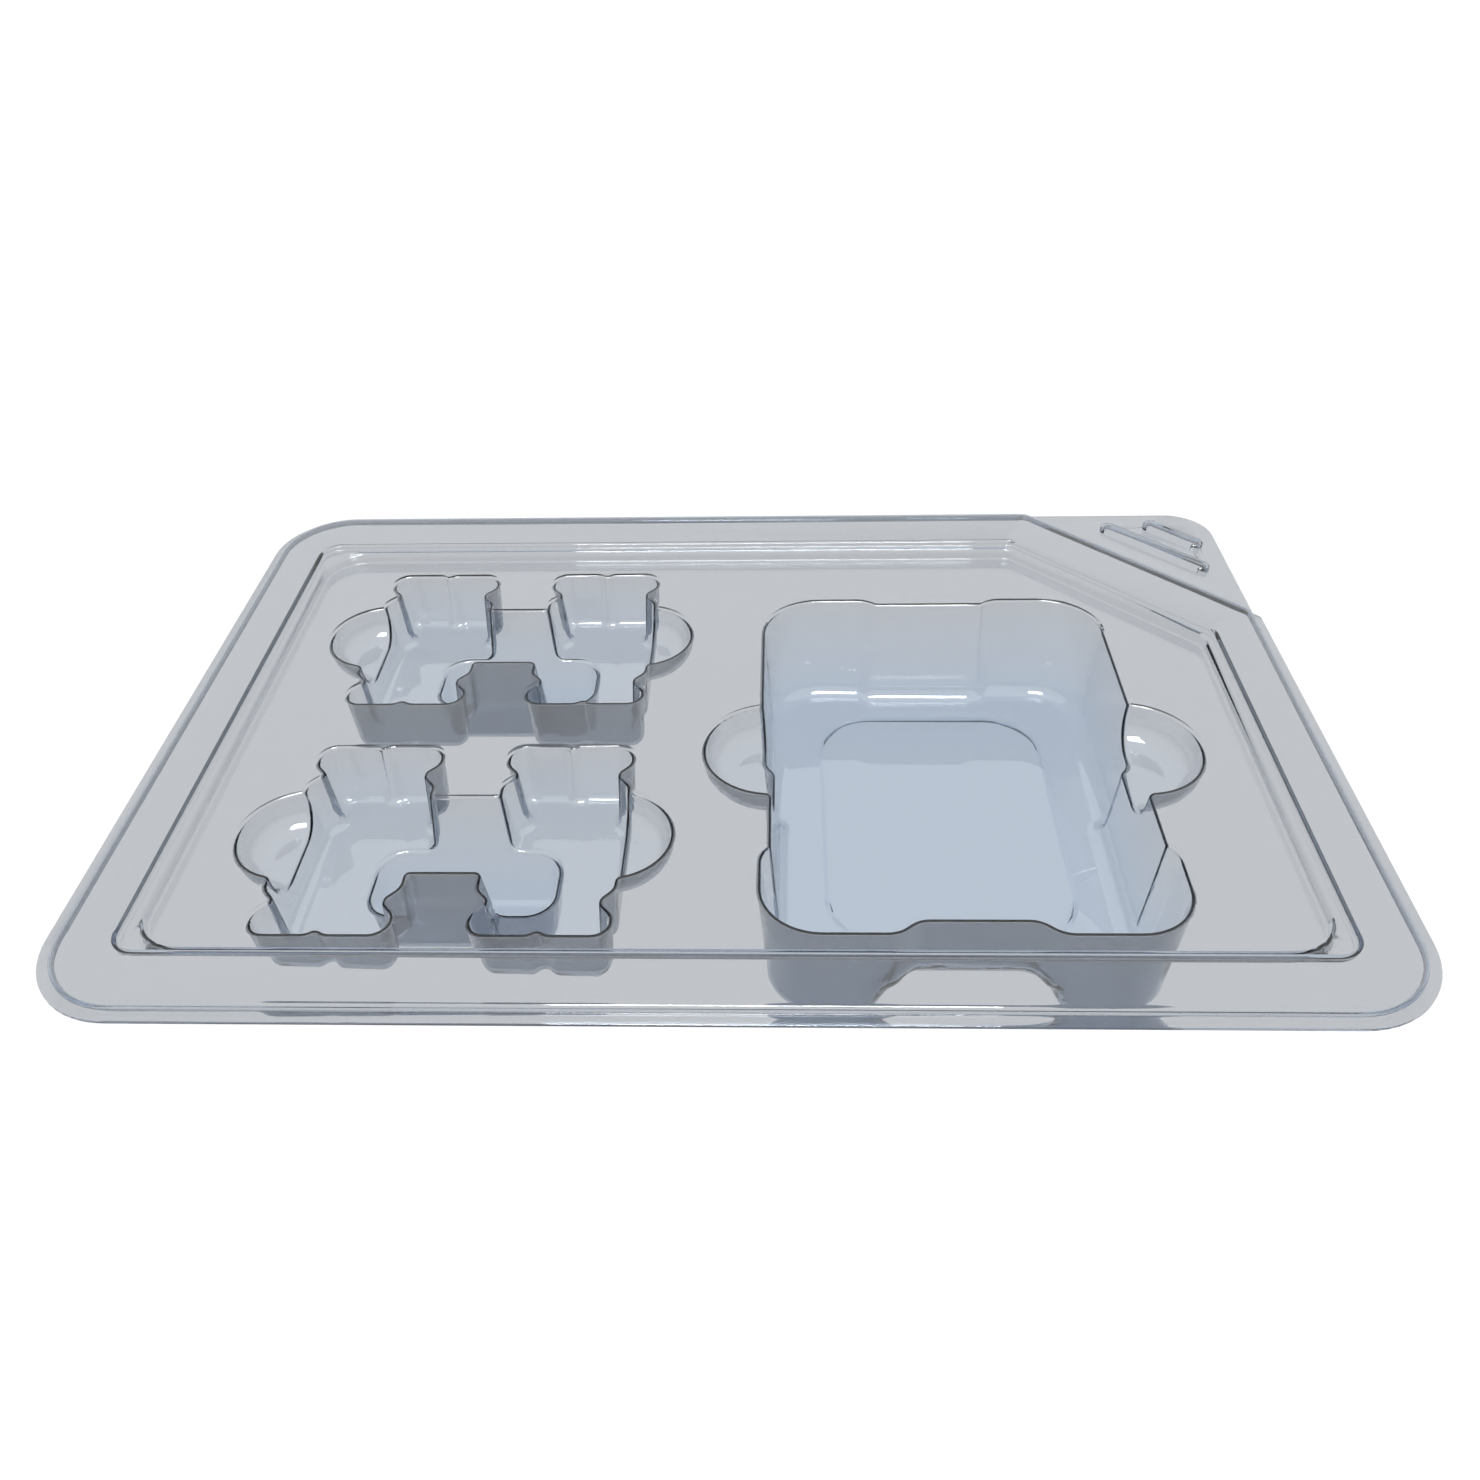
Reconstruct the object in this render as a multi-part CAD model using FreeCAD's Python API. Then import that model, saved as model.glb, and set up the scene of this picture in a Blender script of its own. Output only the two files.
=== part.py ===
import FreeCAD, Part
import math
import os

from FreeCAD import Vector

os.makedirs("parts", exist_ok=True)

# Thermoformed packing tray, one sheet of clear plastic, in millimetres.
# +X runs along the long side, +Y to the back, +Z up. The origin is under the middle of
# the tray, on the surface that it stands on.

# Sheet and its bends
SHEET = 0.8            # thickness of the formed sheet
BEND_R = 1.2           # radius of a bend on its outer side
DRAFT = 4.0            # slope of the walls from the vertical, in degrees

# Outline and the lip around it
TRAY_LENGTH = 260.0
TRAY_DEPTH = 178.5
OUTER_R = 19.0         # corners of the trimmed outline
LIP_WIDTH = 2.2        # level lip outside the seal face
LIP_DROP = 1.75        # the lip lies this far below the seal face

# Peel corner, at the back right
PEEL_LEG = 52.5        # the diagonal step cuts this much off both sides
PEEL_INSET = 1.5       # its trimmed edge stands back from the outline
PEEL_R = 11.0          # its outer corner
PEEL_STEP = 0.5        # the raised rim stops this much short of the corner's lip
CUT_R = 4.0            # bends at both ends of a cut corner
RIB_WIDTH = 4.4
RIB_HEIGHT = 1.3
RIB_OFFSETS = (9.5, 18.8)    # middle of each rib from the diagonal step
RIB_LENGTHS = (32.8, 17.8)
RIB_SHIFT = 0.3              # the ribs lie this far off the corner's own diagonal
RIB_END = 0.995              # radius of a rib's round ends, as a share of half its width

# Seal face and the two steps down to the deck
SEAL_SIDE = 13.8       # width of the raised rim along the short sides, lip included
SEAL_FRONT = 15.0
SEAL_BACK = 17.0
SEAL_R = 5.0           # corners of its inner edge
LEDGE_DROP = 1.75
LEDGE_WIDTH = 2.1
DECK_DROP = 4.6        # the deck lies this far below the seal face
DECK_R = 10.0
CHAMFER = 43.0         # the inner edge's cut corner, along each side

# Large pocket, at the right
LARGE_X = 48.45        # its middle
LARGE_WIDTH = 84.9
LARGE_FRONT = -64.7
LARGE_BACK = 49.2
LARGE_DEPTH = 28.5     # below the deck
LARGE_FRONT_R = 12.0
LARGE_BACK_R = 14.0
FLOOR_R = 4.0          # bend between the walls and the floor, on its inner side
SIDE_RIDGE = 2.0       # the side walls stand in by this much beside the scoops
SIDE_RIDGE_Y = (-42.4, -7.0)
FRONT_RECESS = 3.4     # the middle of the front wall stands in by this much
FRONT_RECESS_WIDTH = 27.5
BACK_RECESS = 2.0
BACK_RECESS_WIDTH = 30.2
RECESS_SLOPE = 40.0
RECESS_R = (6.2, 1.5)   # bends at the foot and at the top of such a step
BRIDGE_WIDTH = 40.6    # raised bridge in the floor, at the middle of the front wall
BRIDGE_LENGTH = 14.3
BRIDGE_HEIGHT = 10.3
BRIDGE_LEAN = 4.5      # how far its sides lean in from foot to top
BRIDGE_R = (8.0, 6.5)  # its upright corners, at the foot and at the top
BRIDGE_TOP_R = 4.5     # bend around its top
BRIDGE_REACH = 10.0    # it runs this far out through the front wall before it is trimmed
PANEL_MARGIN = 11.5    # raised middle panel of the floor, from the foot of the walls
PANEL_FRONT = 7.0      # and this much further from the front wall
PANEL_HEIGHT = 0.8
PANEL_R = 14.0

# Two twin pockets, at the left: two shallow legs and a deep well across them
TWIN_X = -58.75        # their middle
TWIN_BACKS = (-9.9, 62.6)
TWIN_LENGTH = 55.7
TWIN_GAP = 15.9        # tongue of deck between the legs
LEG_WIDTH = 27.45
LEG_DEPTH = 15.0
LEG_R = 3.5
LEG_FLOOR_R = 2.0
RIDGE = 2.5            # upright ridges that hold the packed thing
RIDGE_WIDTH = 4.4      # between the middles of its slopes
RIDGE_SLOPE = 42.0
RIDGE_R = (3.8, 1.6)   # bends at its foot and at its top
RIDGE_BACK = 9.0       # middle of a ridge from the back edge
RIDGE_FRONT = 8.7      # middle of a ridge from the front edge
NIB = 0.9              # small upright rib in the middle of a leg's end wall
NIB_WIDTH = 2.5
NIB_SLOPE = 35.0
NIB_R = (3.2, 1.3)
WELL_BACK = 16.9       # the well, from the pocket's back edge
WELL_LENGTH = 22.1
WELL_WIDTH = 44.0
WELL_R = 8.0
WELL_FLOOR_R = 3.4
WELL_DRAFT = 7.0       # its walls lean more than the others

# Finger scoops
SMALL_SCOOP_R = 12.5
SMALL_SCOOP_DEPTH = 8.0
LARGE_SCOOP_R = 15.0
LARGE_SCOOP_DEPTH = 9.0
LARGE_SCOOP_Y = -10.0
SCOOP_INSET = 2.0      # a scoop's middle lies this far inside the wall
SCOOP_FLOOR = 0.72     # its floor bend, as a share of its depth
JOIN_R = 1.5           # upright bends where a scoop or a well opens into a pocket

# Heights
DECK_Z = SHEET + LARGE_DEPTH
SEAL_Z = DECK_Z + DECK_DROP
LIP_Z = SEAL_Z - LIP_DROP
LEDGE_Z = SEAL_Z - LEDGE_DROP
ABOVE = 1.0            # tools reach this far above the face that they cut
BELOW = 5.0            # the solids that the sheet is cut from reach this far past it
LEVEL = 0.001          # two heights this close count as one
SMOOTH = 12.0          # faces that meet at a smaller turn than this run smoothly, degrees


def lean(height, draft=DRAFT):
    """How far a drafted wall leans in over a height."""
    return height * math.tan(math.radians(draft))


def moved_edges(corners, amount):
    """The polygon with every edge moved outward by amount, and its corner radii to match.

    A corner is (x, y, radius) and the polygon runs counter-clockwise. Corners that stick
    out gain the amount, corners that point inward lose it.
    """
    result = []
    count = len(corners)
    for index in range(count):
        before, here, after = corners[index - 1], corners[index], corners[(index + 1) % count]
        ax, ay = here[0] - before[0], here[1] - before[1]
        bx, by = after[0] - here[0], after[1] - here[1]
        a, b = math.hypot(ax, ay), math.hypot(bx, by)
        nax, nay, nbx, nby = ay / a, -ax / a, by / b, -bx / b
        scale = amount / (1.0 + nax * nbx + nay * nby)
        turn = ax * by - ay * bx
        radius = here[2] + (amount if turn > 0 else -amount)
        result.append((here[0] + (nax + nbx) * scale, here[1] + (nay + nby) * scale, radius))
    return result


def outline(corners, z):
    """Closed wire of straight runs and tangent corner arcs at height z."""
    starts, mids, ends = [], [], []
    count = len(corners)
    for index in range(count):
        before, here, after = corners[index - 1], corners[index], corners[(index + 1) % count]
        corner = Vector(here[0], here[1], z)
        back = (Vector(before[0], before[1], z) - corner).normalize()
        ahead = (Vector(after[0], after[1], z) - corner).normalize()
        half = back.getAngle(ahead) / 2.0
        reach = here[2] / math.tan(half)
        centre = corner + (back + ahead).normalize() * (here[2] / math.sin(half))
        starts.append(corner + back * reach)
        ends.append(corner + ahead * reach)
        mids.append(centre + (corner - centre).normalize() * here[2])
    edges = []
    for index in range(count):
        edges.append(Part.Arc(starts[index], mids[index], ends[index]).toShape())
        edges.append(Part.LineSegment(ends[index], starts[(index + 1) % count]).toShape())
    return Part.Wire(edges)


def loft(low, z_low, high, z_high):
    """Solid between two polygons with as many corners each."""
    return Part.makeLoft([outline(low, z_low), outline(high, z_high)], True, True)


def drafted(corners, z_face, depth, grow, draft=DRAFT):
    """Drafted hollow below the face at z_face; the corners are at the face."""
    low = moved_edges(corners, grow - lean(depth + grow, draft))
    high = moved_edges(corners, grow + lean(ABOVE, draft))
    return loft(low, z_face - depth - grow, high, z_face + ABOVE)


def hollow(corners, z_face, depth, grow, floor_r, draft=DRAFT):
    """Drafted hollow with a bend between its walls and its floor."""
    body = drafted(corners, z_face, depth, grow, draft)
    z_low = body.BoundBox.ZMin
    return rounded(body, lambda edge: lies_at(edge, z_low), floor_r + grow)


def lies_at(edge, z):
    """True for an edge that lies level at height z."""
    box = edge.BoundBox
    return abs(box.ZMin - z) < LEVEL and abs(box.ZMax - z) < LEVEL


def rounded(body, wanted, radius):
    """The body with the wanted edges rounded."""
    edges = [edge for edge in body.Edges if wanted(edge)]
    return body.makeFillet(radius, edges)


def bump(base, along, inward, height, width, slope, radii):
    """Four corners of a bump in a wall, from its foot over its level top and back.

    base is the middle of its foot, along the wall's direction, width the middle of its
    slopes apart, and radii the bends at its foot and at its top.
    """
    run = height / math.tan(math.radians(slope))
    foot, top = (width + run) / 2.0, (width - run) / 2.0
    steps = ((-foot, 0.0, radii[0]), (-top, height, radii[1]),
             (top, height, radii[1]), (foot, 0.0, radii[0]))
    return [
        (base[0] + along[0] * s + inward[0] * h, base[1] + along[1] * s + inward[1] * h, r)
        for s, h, r in steps
    ]


def rectangle(x_low, x_high, y_low, y_high, radius):
    return [(x_low, y_low, radius), (x_high, y_low, radius),
            (x_high, y_high, radius), (x_low, y_high, radius)]


def cut_rectangle(x_half, y_low, y_high, radius, cut, cut_r):
    """Rectangle about x = 0 with its back right corner cut off at 45 degrees."""
    return [(-x_half, y_low, radius), (x_half, y_low, radius),
            (x_half, y_high - cut, cut_r), (x_half - cut, y_high, cut_r),
            (-x_half, y_high, radius)]


def trim_outline(z):
    """Trimmed edge: a rounded rectangle whose peel corner stands back a little."""
    x, y = TRAY_LENGTH / 2.0, TRAY_DEPTH / 2.0
    leg, inset = PEEL_LEG, PEEL_INSET
    corners = [
        (-x, -y, OUTER_R), (x, -y, OUTER_R),
        (x, y - leg, inset), (x - inset, y - leg + inset, inset),
        (x - inset, y - inset, PEEL_R),
        (x - leg + inset, y - inset, inset), (x - leg, y, inset),
        (-x, y, OUTER_R),
    ]
    return outline(corners, z)


def prism(wire, height):
    return Part.Face(wire).extrude(Vector(0, 0, height))


def seal_block(grow):
    """Raised block whose top is the seal face, before anything is sunk into it."""
    x, y = TRAY_LENGTH / 2.0 - LIP_WIDTH, TRAY_DEPTH / 2.0 - LIP_WIDTH
    cut = PEEL_LEG - 2.0 * LIP_WIDTH + PEEL_STEP
    corners = cut_rectangle(x, -y, y, OUTER_R - LIP_WIDTH, cut, CUT_R)
    z_low, z_high = LIP_Z - grow - ABOVE, SEAL_Z - grow
    low = moved_edges(corners, lean(ABOVE) - grow)
    high = moved_edges(corners, -lean(z_high - LIP_Z) - grow)
    body = loft(low, z_low, high, z_high)
    return rounded(body, lambda edge: lies_at(edge, z_high), BEND_R - grow)


def peel_rib(offset, length, grow):
    """Raised rib with round ends, parallel to the peel corner's diagonal."""
    half, side = length / 2.0, RIB_WIDTH / 2.0
    z_high = LIP_Z + RIB_HEIGHT - grow
    foot = rectangle(-half, half, -side, side, side * RIB_END)
    low = moved_edges(foot, lean(ABOVE) - grow)
    high = moved_edges(foot, -lean(RIB_HEIGHT) - grow)
    body = loft(low, LIP_Z - grow - ABOVE, high, z_high)
    x, y = TRAY_LENGTH / 2.0, TRAY_DEPTH / 2.0
    out = offset / math.sqrt(2.0)
    body.rotate(Vector(0, 0, 0), Vector(0, 0, 1), -45.0)
    out -= PEEL_LEG / 2.0
    body.translate(Vector(x + out + RIB_SHIFT, y + out - RIB_SHIFT, 0))
    return body


def seal_hollow(grow):
    """Hollow inside the seal face: down to the ledge, then down to the deck."""
    x = TRAY_LENGTH / 2.0 - SEAL_SIDE
    y_low, y_high = SEAL_FRONT - TRAY_DEPTH / 2.0, TRAY_DEPTH / 2.0 - SEAL_BACK
    ledge = cut_rectangle(x, y_low, y_high, SEAL_R, CHAMFER, CUT_R)
    step = LEDGE_WIDTH + lean(LEDGE_DROP)
    cut = CHAMFER - (2.0 - math.sqrt(2.0)) * step
    deck = cut_rectangle(x - step, y_low + step, y_high - step, DECK_R, cut, CUT_R)
    inner_r = BEND_R - SHEET
    upper = hollow(ledge, SEAL_Z, LEDGE_DROP, grow, inner_r)
    lower = hollow(deck, LEDGE_Z, DECK_DROP - LEDGE_DROP, grow, inner_r)
    return upper.fuse(lower)


def scoop(x, y, radius, depth, grow):
    """Round finger scoop with a wide bend into its floor."""
    z_low = DECK_Z - depth - grow
    high_r = radius + grow + lean(ABOVE)
    low_r = radius + grow - lean(depth + grow)
    height = depth + grow + ABOVE
    body = Part.makeCone(low_r, high_r, height, Vector(x, y, z_low))
    return rounded(body, lambda edge: lies_at(edge, z_low), depth * SCOOP_FLOOR + grow)


def large_walls():
    """Mouth of the large pocket, with its recesses and side ridges."""
    x_low, x_high = LARGE_X - LARGE_WIDTH / 2.0, LARGE_X + LARGE_WIDTH / 2.0
    y_ridge = sum(SIDE_RIDGE_Y) / 2.0
    ridge_width = SIDE_RIDGE_Y[1] - SIDE_RIDGE_Y[0]

    def ridge(x, up):
        return bump((x, y_ridge), (0, up), (-up, 0), SIDE_RIDGE, ridge_width,
                    RECESS_SLOPE, RECESS_R)

    return (
        [(x_low, LARGE_FRONT, LARGE_FRONT_R)]
        + bump((LARGE_X, LARGE_FRONT), (1, 0), (0, 1), FRONT_RECESS, FRONT_RECESS_WIDTH,
               RECESS_SLOPE, (RECESS_R[0], RECESS_R[0]))
        + [(x_high, LARGE_FRONT, LARGE_FRONT_R)] + ridge(x_high, 1)
        + [(x_high, LARGE_BACK, LARGE_BACK_R)]
        + bump((LARGE_X, LARGE_BACK), (-1, 0), (0, -1), BACK_RECESS, BACK_RECESS_WIDTH,
               RECESS_SLOPE, RECESS_R)
        + [(x_low, LARGE_BACK, LARGE_BACK_R)] + ridge(x_low, -1)
    )


def bridge(grow):
    """Raised bridge in the large pocket's floor: it leans in to its top on three sides."""
    z_floor = DECK_Z - LARGE_DEPTH - grow
    z_top = z_floor + BRIDGE_HEIGHT
    half = BRIDGE_WIDTH / 2.0
    y_back = LARGE_FRONT + BRIDGE_LENGTH
    y_out = LARGE_FRONT - BRIDGE_REACH
    low = rectangle(LARGE_X - half + grow, LARGE_X + half - grow,
                    y_out, y_back - grow, BRIDGE_R[0] - grow)
    half_top = half - BRIDGE_LEAN
    high = rectangle(LARGE_X - half_top + grow, LARGE_X + half_top - grow,
                     y_out, y_back - BRIDGE_LEAN - grow, BRIDGE_R[1] - grow)
    share = ABOVE / BRIDGE_HEIGHT
    under = [tuple(a + (a - b) * share for a, b in zip(p, q)) for p, q in zip(low, high)]
    body = loft(under, z_floor - ABOVE, high, z_top)
    return rounded(body, lambda edge: lies_at(edge, z_top), BRIDGE_TOP_R - grow)


def floor_panel(grow):
    """Slightly raised middle panel of the large pocket's floor."""
    z_floor = DECK_Z - LARGE_DEPTH - grow
    inset = PANEL_MARGIN + lean(LARGE_DEPTH)
    x_half = LARGE_WIDTH / 2.0 - inset
    corners = rectangle(LARGE_X - x_half, LARGE_X + x_half,
                        LARGE_FRONT + inset + PANEL_FRONT, LARGE_BACK - inset, PANEL_R)
    low = moved_edges(corners, -grow)
    high = moved_edges(corners, -grow - PANEL_HEIGHT)
    return loft(low, z_floor - ABOVE, high, z_floor + PANEL_HEIGHT)


def large_scoops(grow):
    reach = LARGE_WIDTH / 2.0 - SCOOP_INSET
    return [scoop(LARGE_X + side * reach, LARGE_SCOOP_Y, LARGE_SCOOP_R, LARGE_SCOOP_DEPTH, grow)
            for side in (-1, 1)]


def leg_walls(side):
    """Mouth of one leg of a twin pocket; side is -1 for the left leg and 1 for the right."""
    y_back, y_front = 0.0, -TWIN_LENGTH
    near = TWIN_X + side * TWIN_GAP / 2.0
    far = near + side * LEG_WIDTH
    x_low, x_high = min(near, far), max(near, far)
    x_mid = (x_low + x_high) / 2.0
    ys = (y_front + RIDGE_FRONT, y_back - RIDGE_BACK)

    def ridge(x, y, up):
        return bump((x, y), (0, up), (-up, 0), RIDGE, RIDGE_WIDTH, RIDGE_SLOPE, RIDGE_R)

    def nib(y, along):
        return bump((x_mid, y), (along, 0), (0, along), NIB, NIB_WIDTH, NIB_SLOPE, NIB_R)

    return (
        [(x_low, y_front, LEG_R)] + nib(y_front, 1)
        + [(x_high, y_front, LEG_R)] + ridge(x_high, ys[0], 1) + ridge(x_high, ys[1], 1)
        + [(x_high, y_back, LEG_R)] + nib(y_back, -1)
        + [(x_low, y_back, LEG_R)] + ridge(x_low, ys[1], -1) + ridge(x_low, ys[0], -1)
    )


def bend_sign(body, edge):
    """1 for an edge where the body juts out, -1 where it turns in, 0 where it runs smooth."""
    faces = body.ancestorsOfType(edge, Part.Face)
    if len(faces) != 2:
        return 0
    middle = (edge.FirstParameter + edge.LastParameter) / 2.0
    point, along = edge.valueAt(middle), edge.tangentAt(middle)
    normals = [face.normalAt(*face.Surface.parameter(point)) for face in faces]
    if normals[0].getAngle(normals[1]) < math.radians(SMOOTH):
        return 0
    as_in_face = next(other for other in faces[0].Edges if other.isSame(edge))
    if as_in_face.Orientation == "Reversed":
        along = along * -1.0
    into_face = normals[0].cross(along)
    return 1 if into_face.dot(normals[1]) < 0 else -1


def joined(parts, grow):
    """Hollows that open into each other, with round bends where they meet."""
    body = parts[0].multiFuse(parts[1:]).removeSplitter()
    return rounded(body, lambda edge: bend_sign(body, edge) < 0, JOIN_R - grow)


def with_rim(pocket, grow):
    """The hollow up to the deck's face, with the bend from the deck into its walls."""
    box = pocket.BoundBox
    deck = DECK_Z - grow
    plate = Part.makeBox(
        box.XLength + 2.0 * BELOW, box.YLength + 2.0 * BELOW, deck - box.ZMin + BELOW,
        Vector(box.XMin - BELOW, box.YMin - BELOW, box.ZMin - BELOW))
    pierced = plate.cut(pocket)

    def inside(span):
        return box.XMin - ABOVE < span.XMin and span.XMax < box.XMax + ABOVE

    def is_rim(edge):
        return lies_at(edge, deck) and bend_sign(pierced, edge) > 0 and inside(edge.BoundBox)

    return plate.cut(rounded(pierced, is_rim, BEND_R - grow))


def large_pocket(grow):
    """Large pocket with its finger scoops, the bridge and the panel in its floor."""
    box = drafted(large_walls(), DECK_Z, LARGE_DEPTH, grow).cut(bridge(grow))

    def is_foot(edge):
        return edge.BoundBox.ZMax < DECK_Z - LARGE_DEPTH / 2.0 and bend_sign(box, edge) > 0

    body = joined([rounded(box, is_foot, FLOOR_R + grow)] + large_scoops(grow), grow)
    return with_rim(body.cut(floor_panel(grow)), grow)


def twin_pocket(grow):
    """Two legs, the well across them and a finger scoop at each side, with its back at y = 0."""
    legs = [hollow(leg_walls(side), DECK_Z, LEG_DEPTH, grow, LEG_FLOOR_R) for side in (-1, 1)]
    half = WELL_WIDTH / 2.0
    mouth = rectangle(TWIN_X - half, TWIN_X + half, -WELL_BACK - WELL_LENGTH, -WELL_BACK, WELL_R)
    well = hollow(mouth, DECK_Z, LARGE_DEPTH, grow, WELL_FLOOR_R, WELL_DRAFT)
    y_scoop = -WELL_BACK - WELL_LENGTH / 2.0
    reach = TWIN_GAP / 2.0 + LEG_WIDTH - SCOOP_INSET
    scoops = [scoop(TWIN_X + side * reach, y_scoop, SMALL_SCOOP_R, SMALL_SCOOP_DEPTH, grow)
              for side in (-1, 1)]
    return with_rim(joined(legs + [well] + scoops, grow), grow)


def sheet_face(grow):
    """Solid under the formed sheet's upper face, or under its lower face when grow is SHEET."""
    block = prism(trim_outline(-BELOW), LIP_Z + BELOW)
    if grow > 0:
        width, depth = TRAY_LENGTH + 2.0 * BELOW, TRAY_DEPTH + 2.0 * BELOW
        corner = Vector(-width / 2.0, -depth / 2.0, -2.0 * BELOW)
        block = Part.makeBox(width, depth, LIP_Z - grow + 2.0 * BELOW, corner)
    raised = [seal_block(grow)]
    raised += [peel_rib(offset, length, grow) for offset, length in zip(RIB_OFFSETS, RIB_LENGTHS)]
    body = block.multiFuse(raised).cut(seal_hollow(grow))
    body = body.cut(large_pocket(grow))
    twin = twin_pocket(grow)
    for y_back in TWIN_BACKS:
        body = body.cut(twin.translated(Vector(0, y_back, 0)))
    return body


def tray():
    upper = sheet_face(0.0)
    lower = sheet_face(SHEET)
    return upper.cut(lower)


tray().exportStep("parts/tray.step")
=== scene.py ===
"""Thermoformed packing tray in clear, slightly blue plastic, on a pale floor in soft light."""

import math

import bmesh
import bpy
from mathutils import Matrix, Vector


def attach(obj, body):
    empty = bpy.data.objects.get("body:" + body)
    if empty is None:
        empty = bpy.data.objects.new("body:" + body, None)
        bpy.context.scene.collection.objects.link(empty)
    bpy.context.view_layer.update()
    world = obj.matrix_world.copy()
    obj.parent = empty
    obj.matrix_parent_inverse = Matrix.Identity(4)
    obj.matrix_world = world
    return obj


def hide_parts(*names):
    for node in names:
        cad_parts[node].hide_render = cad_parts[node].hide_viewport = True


# Camera, in metres, degrees and millimetres of lens
CAMERA_AT = (0.0105, -0.2246, 0.2092)
CAMERA_DOWN = 39.64
CAMERA_TURN = 2.56
CAMERA_ROLL = -1.74
CAMERA_LENS = 30.16
SENSOR = 36.0
CLIP = (0.01, 20.0)

# Sheet
DECK_Z = 0.0293
IOR = 1.57
ROUGHNESS = 0.02
SHARP = 35.0                       # edges sharper than this stay sharp, in degrees
SAME_PLACE = 1e-6                  # corners this close are one corner, in metres
FACE_WEIGHT = 50                   # how far the large faces decide the shading of the bends
TINT_LOW = (0.463, 0.52, 0.597)    # what passes the floors of the pockets
TINT_HIGH = (0.51, 0.515, 0.526)   # what passes the deck
ABSORBED = (0.10, 0.37, 0.68)      # blue that builds up along the sheet
DENSITY = 130.0

# Floor, in metres
FLOOR_HALF = 4.0
FLOOR_Z = -0.0004
FLOOR_COLOUR = (0.93, 0.93, 0.93)
FLOOR_ROUGHNESS = 0.9

# Light: brightness by height in the sky, and the softbox in metres and watts
SOFTBOX_AT = (0.0, -0.42, 1.0)
SOFTBOX_SIZE = (0.45, 0.32)
SOFTBOX_POWER = 9.0
SKY_LEVELS = ((0.0, 0.27), (0.12, 0.38), (0.45, 1.07), (1.0, 1.34))

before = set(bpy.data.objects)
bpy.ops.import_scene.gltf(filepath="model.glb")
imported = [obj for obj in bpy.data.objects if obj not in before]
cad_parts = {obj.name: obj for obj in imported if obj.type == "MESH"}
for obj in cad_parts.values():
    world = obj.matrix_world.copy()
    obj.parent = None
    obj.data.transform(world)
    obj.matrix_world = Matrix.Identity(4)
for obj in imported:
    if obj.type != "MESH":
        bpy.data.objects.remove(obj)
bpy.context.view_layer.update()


def shader(material):
    return next(n for n in material.node_tree.nodes if n.type == "BSDF_PRINCIPLED")


def plain_material(name, colour, roughness):
    material = bpy.data.materials.new(name)
    material.use_nodes = True
    bsdf = shader(material)
    bsdf.inputs["Base Color"].default_value = (*colour, 1.0)
    bsdf.inputs["Roughness"].default_value = roughness
    return material


def clear_sheet_material():
    """Clear plastic; its base colour runs by height from the bluer TINT_LOW at the pocket floors to
    TINT_HIGH at the deck.
    """
    material = plain_material("clear_sheet", TINT_HIGH, ROUGHNESS)
    nodes, links = material.node_tree.nodes, material.node_tree.links
    bsdf = shader(material)
    bsdf.inputs["Transmission Weight"].default_value = 1.0
    bsdf.inputs["IOR"].default_value = IOR
    place = nodes.new("ShaderNodeTexCoord")
    split = nodes.new("ShaderNodeSeparateXYZ")
    ramp = nodes.new("ShaderNodeValToRGB")
    height = nodes.new("ShaderNodeMapRange")
    height.inputs["From Min"].default_value = 0.0
    height.inputs["From Max"].default_value = DECK_Z
    ramp.color_ramp.elements[0].color = (*TINT_LOW, 1.0)
    ramp.color_ramp.elements[1].color = (*TINT_HIGH, 1.0)
    links.new(place.outputs["Object"], split.inputs["Vector"])
    links.new(split.outputs["Z"], height.inputs["Value"])
    links.new(height.outputs["Result"], ramp.inputs["Fac"])
    links.new(ramp.outputs["Color"], bsdf.inputs["Base Color"])
    inside = nodes.new("ShaderNodeVolumeAbsorption")
    inside.inputs["Color"].default_value = (*ABSORBED, 1.0)
    inside.inputs["Density"].default_value = DENSITY
    out = next(n for n in nodes if n.type == "OUTPUT_MATERIAL")
    links.new(inside.outputs["Volume"], out.inputs["Volume"])
    return material


def formed_sheet(node, material):
    """The CAD sheet with its triangles joined and its bends shaded smooth."""
    mesh = node.data.copy()
    mesh.name = "formed_sheet"
    work = bmesh.new()
    work.from_mesh(mesh)
    bmesh.ops.remove_doubles(work, verts=work.verts, dist=SAME_PLACE)
    work.to_mesh(mesh)
    work.free()
    mesh.materials.clear()
    mesh.materials.append(material)
    sheet = bpy.data.objects.new("formed_sheet", mesh)
    bpy.context.collection.objects.link(sheet)
    mesh.shade_smooth()
    mesh.set_sharp_from_angle(angle=math.radians(SHARP))
    even = sheet.modifiers.new("even_normals", "WEIGHTED_NORMAL")
    even.keep_sharp = True
    even.weight = FACE_WEIGHT
    return sheet


def softbox():
    """Light above and before the tray; it gives the bends their highlights and spares the floor."""
    light = bpy.data.lights.new("softbox", "AREA")
    light.shape = "RECTANGLE"
    light.size, light.size_y = SOFTBOX_SIZE
    light.energy = SOFTBOX_POWER
    lamp = bpy.data.objects.new("softbox", light)
    bpy.context.collection.objects.link(lamp)
    lamp.location = SOFTBOX_AT
    lamp.rotation_euler = (-Vector(SOFTBOX_AT)).to_track_quat("-Z", "Y").to_euler()
    lamp.visible_diffuse = False


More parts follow.
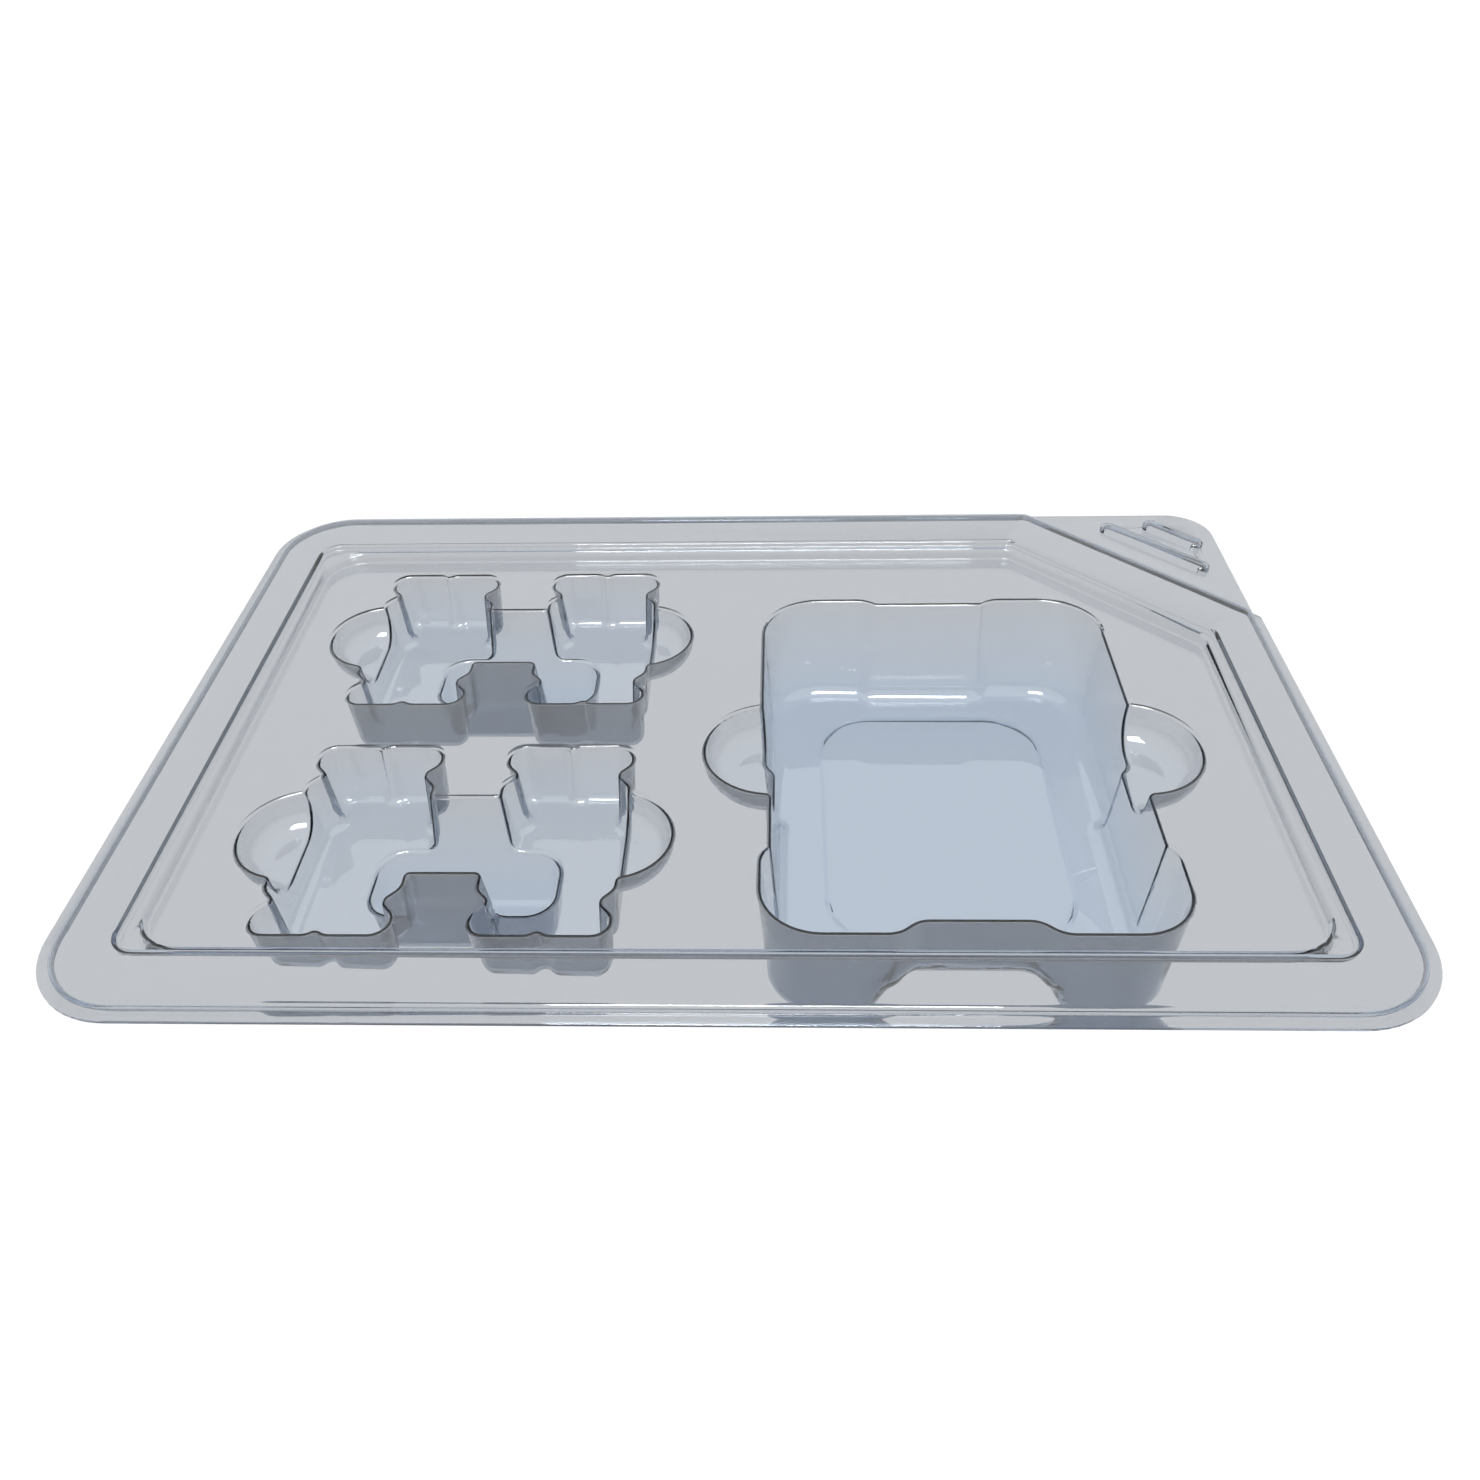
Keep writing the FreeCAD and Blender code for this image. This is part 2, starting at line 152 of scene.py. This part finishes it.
def floor():
    signs = ((-1, -1), (1, -1), (1, 1), (-1, 1))
    corners = [(x * FLOOR_HALF, y * FLOOR_HALF, FLOOR_Z) for x, y in signs]
    mesh = bpy.data.meshes.new("floor")
    mesh.from_pydata(corners, [], [(0, 1, 2, 3)])
    mesh.materials.append(plain_material("floor", FLOOR_COLOUR, FLOOR_ROUGHNESS))
    plane = bpy.data.objects.new("floor", mesh)
    bpy.context.collection.objects.link(plane)


def studio():
    """Soft light from all round, brighter overhead than low down."""
    sky = bpy.data.worlds.new("studio")
    sky.use_nodes = True
    nodes, links = sky.node_tree.nodes, sky.node_tree.links
    background = next(n for n in nodes if n.type == "BACKGROUND")
    place = nodes.new("ShaderNodeTexCoord")
    split = nodes.new("ShaderNodeSeparateXYZ")
    ramp = nodes.new("ShaderNodeValToRGB")
    top = max(level for _, level in SKY_LEVELS)
    steps = ramp.color_ramp.elements
    while len(steps) < len(SKY_LEVELS):
        steps.new(0.5)
    for step, (height, level) in zip(steps, SKY_LEVELS):
        step.position = height
        step.color = (level / top, level / top, level / top, 1.0)
    links.new(place.outputs["Generated"], split.inputs["Vector"])
    links.new(split.outputs["Z"], ramp.inputs["Fac"])
    links.new(ramp.outputs["Color"], background.inputs["Color"])
    background.inputs["Strength"].default_value = top
    bpy.context.scene.world = sky


def camera():
    data = bpy.data.cameras.new("camera")
    data.lens, data.sensor_width = CAMERA_LENS, SENSOR
    data.clip_start, data.clip_end = CLIP
    lens = bpy.data.objects.new("camera", data)
    bpy.context.collection.objects.link(lens)
    turn = Matrix.Rotation(math.radians(CAMERA_TURN), 4, "Z")
    tilt = Matrix.Rotation(math.radians(90.0 - CAMERA_DOWN), 4, "X")
    roll = Matrix.Rotation(math.radians(CAMERA_ROLL), 4, "Z")
    lens.matrix_world = Matrix.Translation(CAMERA_AT) @ turn @ tilt @ roll
    bpy.context.scene.camera = lens


bpy.context.scene.view_settings.view_transform = "Standard"
sheet = formed_sheet(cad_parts["tray"], clear_sheet_material())
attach(sheet, "root")
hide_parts("tray")
sheet.visible_shadow = False
sheet.visible_diffuse = False
floor()
studio()
softbox()
camera()
